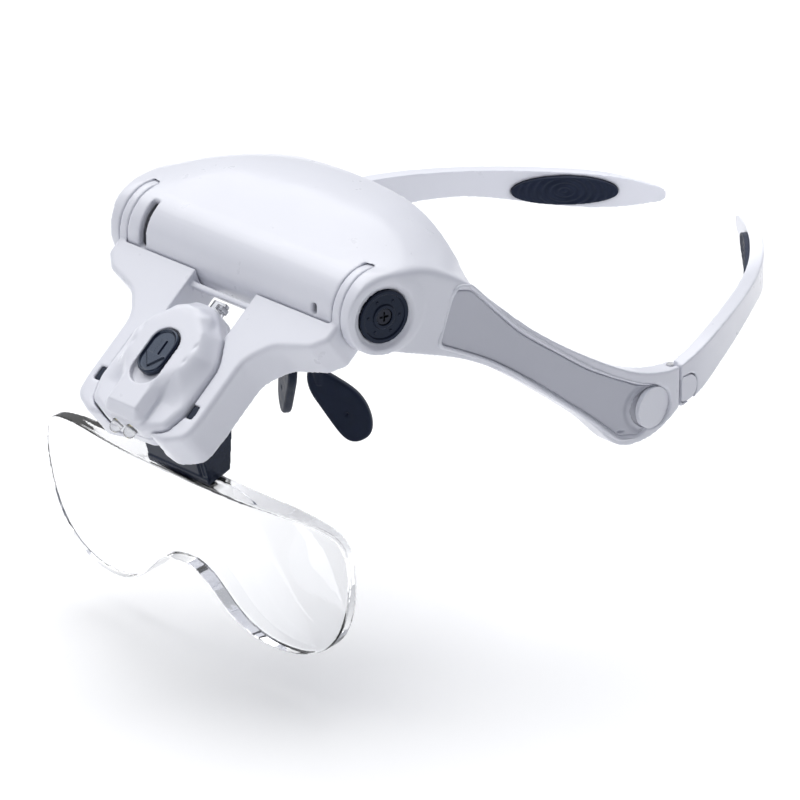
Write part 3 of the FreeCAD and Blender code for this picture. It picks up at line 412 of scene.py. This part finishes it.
def sculpt(piece, space, relief, straight=False):
    """Raises the surface by relief(place, direction) in mm, both seen from the frame. It rises along its
    normals, or straight along the frame's third axis."""
    mesh = piece.data
    points = numbers_of(mesh.vertices, "co")
    normals = numbers_of(mesh.vertex_normals, "vector")
    to_local, place = seen_from(space, piece, points)
    facing = normals @ to_local[:3, :3].T
    ways = np.broadcast_to(to_local[2, :3], normals.shape) if straight else normals
    points += ways * (relief(place, facing) * MM)[:, None]
    mesh.vertices.foreach_set("co", points.ravel())
    mesh.update()


def melt(piece, space, share_of, rounds):
    """Evens the surface out where share_of(place in mm) is above zero."""
    mesh = piece.data
    means = neighbour_means(mesh)
    points = numbers_of(mesh.vertices, "co")
    _, place = seen_from(space, piece, points)
    share = 0.5 * share_of(place)[:, None]
    for _ in range(rounds):
        points += (means(points) - points) * share
    mesh.vertices.foreach_set("co", points.ravel())
    mesh.update()


# the reliefs are in mm
RIB_HEIGHT = 0.17
RIB_PITCH = 2.1
RIB_SQUASH = 1.6
RIB_HALF_LENGTH = 14.0
RIB_HALF_WIDTH = 3.9


def pad_ribs(place, facing):
    """Rounded oval ribs that ring the middle of a temple pad."""
    x, y = place[:, 0], place[:, 1]
    rings = np.cos(2 * np.pi * np.hypot(x, RIB_SQUASH * y) / RIB_PITCH)
    inside = step(1.0, 0.84, np.hypot(x / RIB_HALF_LENGTH, y / RIB_HALF_WIDTH))
    return RIB_HEIGHT * rings * inside * step(0.4, 0.7, np.abs(facing[:, 2]))


KNOB_HALF_WIDTH = 4.1
KNOB_HALF_STRAIGHT = 2.2
KNOB_TOP = 5.4
DISH_DEPTH = 0.55
ARROW_HEIGHT = 0.42
ARROW_TIP = -4.6
ARROW_NECK = -0.9
ARROW_SPREAD = 0.84
STEM_HALF_WIDTH = 0.8
STEM_TOP = 3.2
STEM_FOOT = -1.4


def switch_relief(place, _):
    """A dished top inside a rim, with a raised arrow that shows which way it slides."""
    x, v, z = place.T
    edge = KNOB_HALF_WIDTH - np.hypot(x, np.maximum(np.abs(v) - KNOB_HALF_STRAIGHT, 0.0))
    stem = np.minimum(np.minimum(STEM_HALF_WIDTH - np.abs(x), STEM_TOP - v), v - STEM_FOOT)
    head = np.minimum(ARROW_SPREAD * (v - ARROW_TIP) - np.abs(x), ARROW_NECK - v)
    arrow = ARROW_HEIGHT * step(-0.12, 0.16, np.maximum(stem, head)) * step(0.95, 1.25, edge)
    top = KNOB_TOP - DISH_DEPTH * step(0.35, 1.0, edge) + arrow
    return np.where(z > KNOB_TOP - 0.5, top - z, 0.0) * step(0.3, 0.6, edge)


# the lamp's outline on one side of its middle: across, and up its face
LAMP_EDGE = (
    (0.0, -5.6), (3.4, -5.7), (10.6, -12.2), (14.3, -19.0), (14.6, -32.6), (12.6, -38.4), (6.0, -40.9),
)
SEAT_MIDDLE = -23.8
SEAT_HALF_STRAIGHT = 3.5
SEAT_RADIUS = 4.65


def distance_inside(x, u, edge):
    """How far each place is from an outline given by one half."""
    away = np.full(x.shape, 1e3)
    for (ax, au), (bx, bu) in zip(edge, edge[1:]):
        run, rise = bx - ax, bu - au
        t = np.clip(((np.abs(x) - ax) * run + (u - au) * rise) / (run * run + rise * rise), 0.0, 1.0)
        away = np.minimum(away, np.hypot(np.abs(x) - ax - t * run, u - au - t * rise))
    return away


def from_seat(x, u):
    """How far each place is from the middle line of the switch's seat."""
    return np.hypot(x, np.maximum(np.abs(u - SEAT_MIDDLE) - SEAT_HALF_STRAIGHT, 0.0))


def lamp_crown(place, facing):
    """The upper half of the lamp swells up to its raised middle; the switch's seat stays clear."""
    x, u, z = place.T
    inside = distance_inside(x, u, LAMP_EDGE)
    slope = 3.0 + 3.6 * step(-16.0, -29.0, u)
    crown = -0.2 + 1.8 * step(0.0, 1.7, inside) + 3.25 * step(0.0, 1.0, (inside - 0.5) / slope)
    upper = step(-33.0, -25.0, u)
    front = (z > 0.3) & (facing[:, 2] > 0.1) & (from_seat(x, u) >= SEAT_RADIUS)
    return np.where(front, np.maximum(crown - z, 0.0), 0.0) * upper


def crown_share(place):
    """The lamp's front above its ridge, without the switch's seat."""
    x, u, z = place.T
    return step(-34.0, -29.0, u) * step(0.8, 1.6, z) * step(4.9, 5.9, from_seat(x, u))


def shoulder(place):
    """Where the roof runs over into the cheek above each pivot."""
    x, y, z = place.T
    top = np.interp(y, (0.0, 9.0, 17.0, 24.5, 33.0), (9.5, 9.2, 6.6, 1.6, -7.2))
    along = step(-8.0, -2.0, y) * (1.0 - step(26.0, 34.0, y))
    return step(39.6, 41.5, np.abs(x)) * along * step(-3.2, -1.2, z - top)


LENS_BACK = -1.4
LENS_THICK = 8.4
LENS_RADIUS = 250.0
LENS_MIDDLE = -22.0


def polish(place, facing):
    """Brings the lens's two faces back to an exact plane and an exact sphere."""
    x, v, z = place.T
    dome = np.sqrt(LENS_RADIUS**2 - x**2 - (v - LENS_MIDDLE) ** 2)
    sphere = LENS_BACK + LENS_THICK - LENS_RADIUS + dome
    true_face = np.where(facing[:, 2] > 0.0, sphere, LENS_BACK)
    gap = true_face - z
    return np.where(np.abs(gap) < 0.5, gap, 0.0) * step(0.9, 0.97, np.abs(facing[:, 2]))


PIT_DEPTH = 0.6
PIT_RADIUS = 0.5


def nose_dimple(place, facing):
    """The moulding gate's small pit in a nose pad's face."""
    away = np.hypot(place[:, 0] - 1.0, place[:, 1] - 1.5)
    return -PIT_DEPTH * np.exp(-((away / PIT_RADIUS) ** 2)) * step(0.4, 0.8, facing[:, 2])


SLOT_PLACE = 8.3
RIB_PLACE = 9.3


def holder_relief(place, facing):
    """A drain slot with a rib beside it and a lip along the foot of the holder's front."""
    x, _, z = place.T
    front = step(0.6, 0.85, -facing[:, 1])
    up = step(-44.6, -43.8, z) * step(-36.0, -37.0, z)
    slot = -0.7 * np.exp(-(((x - SLOT_PLACE) / 0.45) ** 2)) * up
    rib = 0.35 * np.exp(-(((x - RIB_PLACE) / 0.4) ** 2)) * up
    lip = 0.3 * step(-44.3, -44.9, z)
    return (slot + rib + lip) * front


# y and z from the flip axis
HINGE_CAP = (65.8, -36.9)
SCALLOP_RADIUS = 6.4
DRAIN = (57.9, -41.9)


def panel_relief(place, facing):
    """A finger scallop in front of the hinge cap and a small drain slot in the panel's lower corner."""
    y, z = place[:, 1], place[:, 2]
    outward = step(0.4, 0.7, facing[:, 0])
    across, up = y - HINGE_CAP[0], z - HINGE_CAP[1]
    away = np.hypot(across, up)
    side = step(-0.1, 0.5, -across / np.maximum(away, 0.1))
    scallop = -0.42 * np.exp(-(((away - SCALLOP_RADIUS) / 0.75) ** 2)) * side
    drain = -0.6 * np.exp(-(((y - DRAIN[0]) / 0.75) ** 2 + ((z - DRAIN[1]) / 0.28) ** 2))
    return (scallop + drain) * outward


# the flip axis, with the object's own axes
FLIP_AXIS = (0.0, -20.0, 45.0)
AXES = local_frame(FLIP_AXIS, (1, 0, 0), (0, 1, 0), (0, 0, 1))
# the lamp's face: across, up the face and out of it
LEAN = math.radians(38.0)
UP_FACE = (0.0, math.cos(LEAN), math.sin(LEAN))
OUT_OF_FACE = (0.0, -math.sin(LEAN), math.cos(LEAN))
FACE = local_frame((0.0, -32.2, 42.4), (1, 0, 0), UP_FACE, OUT_OF_FACE)
# the switch's middle on that face
SWITCH = FACE @ Matrix.Translation((0.0, -22.5 * MM, 0.0))
# the left temple pad: along the temple, up and out
PAD_TURN = math.radians(133.0)
PAD_ALONG = (math.cos(PAD_TURN), math.sin(PAD_TURN), 0.0)
PAD_OUT = (math.sin(PAD_TURN), -math.cos(PAD_TURN), 0.0)
PAD = local_frame((32.4, 120.9, 13.8), PAD_ALONG, (0, 0, 1), PAD_OUT)
# the lens: across, up and out of its front
LENS_LEAN = math.radians(95.0)
LENS_UP = (0.0, math.cos(LENS_LEAN), math.sin(LENS_LEAN))
LENS_OUT = (0.0, -math.sin(LENS_LEAN), math.cos(LENS_LEAN))
LENS = local_frame((0.0, -42.0, -1.0), (1, 0, 0), LENS_UP, LENS_OUT)
# the left nose pad: down its length, across and out of its face
NOSE_OUT = Vector((0.56, -0.8285, 0.0)).normalized()
NOSE_DOWN = Vector((0.4372, 0.2955, -0.8495)).normalized()
NOSE = local_frame((9.3, -1.7, 3.0), NOSE_DOWN, NOSE_OUT.cross(NOSE_DOWN), NOSE_OUT)

sculpt(MOULDED["switch_knob"], SWITCH, switch_relief, straight=True)
switch_gloss = black_plastic("switch_gloss", (0.004, 0.006, 0.016), 0.1, 0.2, 0.00001)
switch_gloss.node_tree.nodes["Principled BSDF"].inputs["Specular IOR Level"].default_value = 0.6
MOULDED["switch_knob"].data.materials[0] = switch_gloss
sculpt(MOULDED["lamp_front_shell"], FACE, lamp_crown, straight=True)
melt(MOULDED["lamp_front_shell"], FACE, crown_share, 40)
melt(MOULDED["front_cover"], AXES, shoulder, 60)
sculpt(MOULDED["lens_holder"], AXES, holder_relief)
sculpt(MOULDED["lens"], LENS, polish, straight=True)
for side, flip in SIDES:
    sculpt(MOULDED[f"temple_pad_{side}"], flip @ PAD, pad_ribs)
    sculpt(MOULDED[f"nose_pad_{side}"], flip @ NOSE, nose_dimple)
    sculpt(MOULDED[f"side_panel_{side}"], flip @ AXES, panel_relief)

# ---------------------------------------------------------------- small added pieces


def add_piece(name, shape, finish, body):
    """A piece from a bmesh, with its material, riding on a body."""
    mesh = bpy.data.meshes.new(name)
    shape.to_mesh(mesh)
    shape.free()
    mesh.materials.append(finish)
    piece = bpy.data.objects.new(name, mesh)
    bpy.context.scene.collection.objects.link(piece)
    mesh.shade_smooth()
    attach(piece, body)


def add_turned(shape, outline, space, steps):
    """A turned solid: its outline is (radius, height) in mm, from axis to axis."""
    rings = []
    for radius, height in outline:
        if radius < 1e-6:
            rings.append([shape.verts.new(space @ Vector((0.0, 0.0, height * MM)))])
            continue
        ring = []
        for i in range(steps):
            turn = 2 * math.pi * i / steps
            at = Vector((radius * math.cos(turn), radius * math.sin(turn), height)) * MM
            ring.append(shape.verts.new(space @ at))
        rings.append(ring)
    for low_ring, high_ring in zip(rings, rings[1:]):
        for i in range(steps):
            j = (i + 1) % steps
            corners = [low_ring[i % len(low_ring)], low_ring[j % len(low_ring)]]
            corners += [high_ring[j % len(high_ring)], high_ring[i % len(high_ring)]]
            corners = list(dict.fromkeys(corners))
            if len(corners) > 2:
                shape.faces.new(corners)


def add_block(shape, size, space, bevel):
    """A block with rounded edges, sizes in mm."""
    start = set(shape.verts)
    scale = Matrix.Diagonal((*(length * MM for length in size), 1.0))
    bmesh.ops.create_cube(shape, size=1.0, matrix=space @ scale)
    fresh = [vert for vert in shape.verts if vert not in start]
    edges = list({edge for vert in fresh for edge in vert.link_edges})
    bmesh.ops.bevel(shape, geom=edges, offset=bevel * MM, segments=3, profile=0.5, affect="EDGES")


def surface_of(piece):
    """A search tree over a moulding's faces, in world places."""
    place = piece.matrix_world
    verts = [place @ vert.co for vert in piece.data.vertices]
    return BVHTree.FromPolygons(verts, [tuple(face.vertices) for face in piece.data.polygons])


def smooth_line(points, per_span=10):
    """Points on a smooth line through the given ones."""
    ends = [2 * points[0] - points[1], *points, 2 * points[-1] - points[-2]]
    line = []
    for a, b, c, d in zip(ends, ends[1:], ends[2:], ends[3:]):
        for i in range(per_span):
            t = i / per_span
            square = (2 * a - 5 * b + 4 * c - d) * t**2
            cube = (3 * b - a - 3 * c + d) * t**3
            line.append(0.5 * (2 * b + (c - a) * t + square + cube))
    return [*line, points[-1]]


def bead(shape, line, radius, sides=10):
    """A half-sunk bead along a line, thinning out at both ends."""
    turns = [2 * math.pi * k / sides for k in range(sides)]
    rings = []
    for i, at in enumerate(line):
        ahead = (line[min(i + 1, len(line) - 1)] - line[max(i - 1, 0)]).normalized()
        first = ahead.cross(Vector((1.0, 0.0, 0.0))).normalized()
        second = ahead.cross(first)
        share = min(1.0, 8 * i / len(line) + 0.08, 8 * (len(line) - 1 - i) / len(line) + 0.08)
        around = [first * math.cos(t) + second * math.sin(t) for t in turns]
        rings.append([shape.verts.new(at + way * radius * share) for way in around])
    for ring, after in zip(rings, rings[1:]):
        for k in range(sides):
            shape.faces.new((ring[k], ring[(k + 1) % sides], after[(k + 1) % sides], after[k]))
    shape.faces.new(rings[0][::-1])
    shape.faces.new(rings[-1])


# just outside the side panel's edge, from its back round the front and back again, from the flip axis:
# y and z
RIM_LINE = (
    (66.6, -30.7), (62.2, -29.8), (50.8, -23.9), (36.4, -12.4), (29.4, -4.9), (24.4, 0.8), (22.2, 1.9),
    (20.0, 2.3), (18.6, 1.3), (17.8, -1.2), (15.9, -7.2), (14.6, -10.4), (15.2, -12.0), (17.5, -13.2),
    (28.8, -19.3), (38.7, -26.8), (50.6, -37.3), (54.2, -40.9), (57.3, -43.7), (60.2, -44.2),
    (62.8, -44.1),
)
RIM_RADIUS = 0.52 * MM
# the left pivot cap's middle: down, across and out
CAP_TURN = math.radians(-13.0)
CAP_OUT = (math.cos(CAP_TURN), math.sin(CAP_TURN), 0.0)
CAP_ACROSS = (-math.sin(CAP_TURN), math.cos(CAP_TURN), 0.0)
CAP = local_frame((43.0, -20.3, 44.4), (0, 0, -1), CAP_ACROSS, CAP_OUT)
# a peg's outline, radius and height, and the ring that the six stand on
PEG = ((0.0, -0.5), (0.42, -0.5), (0.42, 0.0), (0.3, 0.14), (0.0, 0.18))
PEG_RING = 4.3

cover = surface_of(MOULDED["front_cover"])
for side, flip in SIDES:
    outward = flip[0][0]
    points = []
    for y, z in RIM_LINE:
        start = Vector((outward * 120.0, y + FLIP_AXIS[1], z + FLIP_AXIS[2])) * MM
        points.append(cover.ray_cast(start, Vector((-outward, 0.0, 0.0)))[0])
    shape = bmesh.new()
    bead(shape, smooth_line(points), RIM_RADIUS)
    add_piece(f"panel_rim_{side}", shape, FINISHES["white_plastic"], "frame")
    shape = bmesh.new()
    cap_face = surface_of(MOULDED[f"pivot_cap_{side}"])
    out = (flip @ CAP).to_3x3() @ Vector((0.0, 0.0, 1.0))
    for i in range(6):
        turn = math.radians(60 * i + 25)
        over_ring = Vector((PEG_RING * math.cos(turn), PEG_RING * math.sin(turn), 12.0))
        above = (flip @ CAP) @ (over_ring * MM)
        hit = cap_face.ray_cast(above, -out)[0]
        foot = Matrix.Translation(hit) @ (flip @ CAP).to_3x3().to_4x4()
        add_turned(shape, PEG, foot, 16)
    bmesh.ops.recalc_face_normals(shape, faces=shape.faces)
    add_piece(f"pivot_pegs_{side}", shape, FINISHES["black_plastic"], "frame")


def on_face(across, up, out):
    """A place on the lamp's face, in mm."""
    return FACE @ Matrix.Translation(Vector((across, up, out)) * MM)


LED_PLACES = (-2.4, 2.4)
LED_DEPTH = -0.9
POST_OFFSET = 0.55

shape = bmesh.new()
for x in LED_PLACES:
    for offset in (-POST_OFFSET, POST_OFFSET):
        add_block(shape, (0.34, 3.0, 0.34), on_face(x + offset, -38.6, LED_DEPTH), 0.06)
    add_block(shape, (0.8, 0.5, 0.8), on_face(x - POST_OFFSET, -40.2, LED_DEPTH), 0.12)
add_piece("led_posts", shape, FINISHES["steel"], "lamp")

shape = bmesh.new()
add_block(shape, (4.6, 3.6, 1.6), on_face(0.9, -4.5, -2.6), 0.4)
add_block(shape, (2.2, 1.4, 2.8), on_face(1.6, -4.1, -3.0), 0.3)
smoked_clear = clear_plastic("smoked_clear", (0.55, 0.56, 0.6), 1.49, 0.2)
add_piece("lamp_catch", shape, smoked_clear, "lamp")

shape = bmesh.new()
for x in LED_PLACES:
    add_block(shape, (0.5, 0.2, 0.5), on_face(x - POST_OFFSET, -40.55, LED_DEPTH), 0.06)
add_piece("led_dies", shape, phosphor("led_phosphor"), "lamp")

# ---------------------------------------------------------------- floor, light and camera


def area_light(name, place, aim, width, power):
    """A square light at a place, turned to what it is aimed at."""
    light = bpy.data.lights.new(name, "AREA")
    light.shape = "SQUARE"
    light.size = width
    light.energy = power
    lamp = bpy.data.objects.new(name, light)
    lamp.location = place
    lamp.rotation_euler = (Vector(aim) - Vector(place)).to_track_quat("-Z", "Y").to_euler()
    bpy.context.scene.collection.objects.link(lamp)


def sun_light(name, towards, strength, spread):
    """A soft distant light that shines from a direction."""
    light = bpy.data.lights.new(name, "SUN")
    light.energy = strength
    light.angle = math.radians(spread)
    lamp = bpy.data.objects.new(name, light)
    lamp.rotation_euler = Vector(towards).to_track_quat("Z", "Y").to_euler()
    bpy.context.scene.collection.objects.link(lamp)


def make_floor(height):
    """A plain matt floor that reaches past the horizon of a low view."""
    mesh = bpy.data.meshes.new("floor")
    shape = bmesh.new()
    bmesh.ops.create_grid(shape, x_segments=2, y_segments=2, size=60.0)
    shape.to_mesh(mesh)
    shape.free()
    floor = bpy.data.objects.new("floor", mesh)
    floor.location.z = height
    bpy.context.scene.collection.objects.link(floor)
    material, shader = new_material("pale_floor")
    shader.inputs["Base Color"].default_value = (0.97, 0.97, 0.97, 1.0)
    shader.inputs["Roughness"].default_value = 0.9
    shader.inputs["Specular IOR Level"].default_value = 0.1
    mesh.materials.append(material)


# the lens slides down this far, and stays clear of the floor
LENS_TRAVEL = 10.0 * MM
low, high = cad_box
make_floor(low[2] - LENS_TRAVEL - 0.5 * MM)
middle = [(a + b) / 2 for a, b in zip(low, high)]

world = bpy.data.worlds.new("studio")
world.use_nodes = True
sky = world.node_tree.nodes
direction = sky.new("ShaderNodeTexCoord")
towards_light = sky.new("ShaderNodeVectorMath")
towards_light.operation = "DOT_PRODUCT"
towards_light.inputs[1].default_value = Vector((-0.5, 0.05, 0.85)).normalized()
dome = sky.new("ShaderNodeValToRGB")
world.node_tree.links.new(direction.outputs["Generated"], towards_light.inputs[0])
world.node_tree.links.new(towards_light.outputs["Value"], dome.inputs["Fac"])
dome.color_ramp.elements[0].color = (0.02, 0.03, 0.065, 1.0)
dome.color_ramp.elements[1].color = (1.0, 1.0, 1.0, 1.0)
middle_stop = dome.color_ramp.elements.new(0.45)
middle_stop.color = (0.42, 0.43, 0.46, 1.0)
world.node_tree.links.new(dome.outputs["Color"], sky["Background"].inputs["Color"])
sky["Background"].inputs["Strength"].default_value = 1.15
bpy.context.scene.world = world

sun_light("key", (-0.45, 0.15, 1.0), 1.6, 60.0)
sun_light("back", (0.1, 0.9, 0.6), 0.35, 60.0)
area_light("highlight", (0.2, -0.9, 0.5), middle, 0.35, 0.5)
area_light("head_space", (0.03, 0.11, 0.06), (-0.06, 0.09, 0.02), 0.06, 0.03)

VIEW_FROM = Vector((0.6439, -0.6439, 0.4131))
camera_data = bpy.data.cameras.new("camera")
camera_data.lens = 263.3
camera_data.sensor_width = 36.0
camera_data.clip_start = 0.05
camera = bpy.data.objects.new("camera", camera_data)
camera.location = (0.93506, -0.90709, 0.59359)
camera.rotation_euler = (-VIEW_FROM).to_track_quat("-Z", "Y").to_euler()
bpy.context.scene.collection.objects.link(camera)
bpy.context.scene.camera = camera
bpy.context.scene.view_settings.view_transform = "Standard"
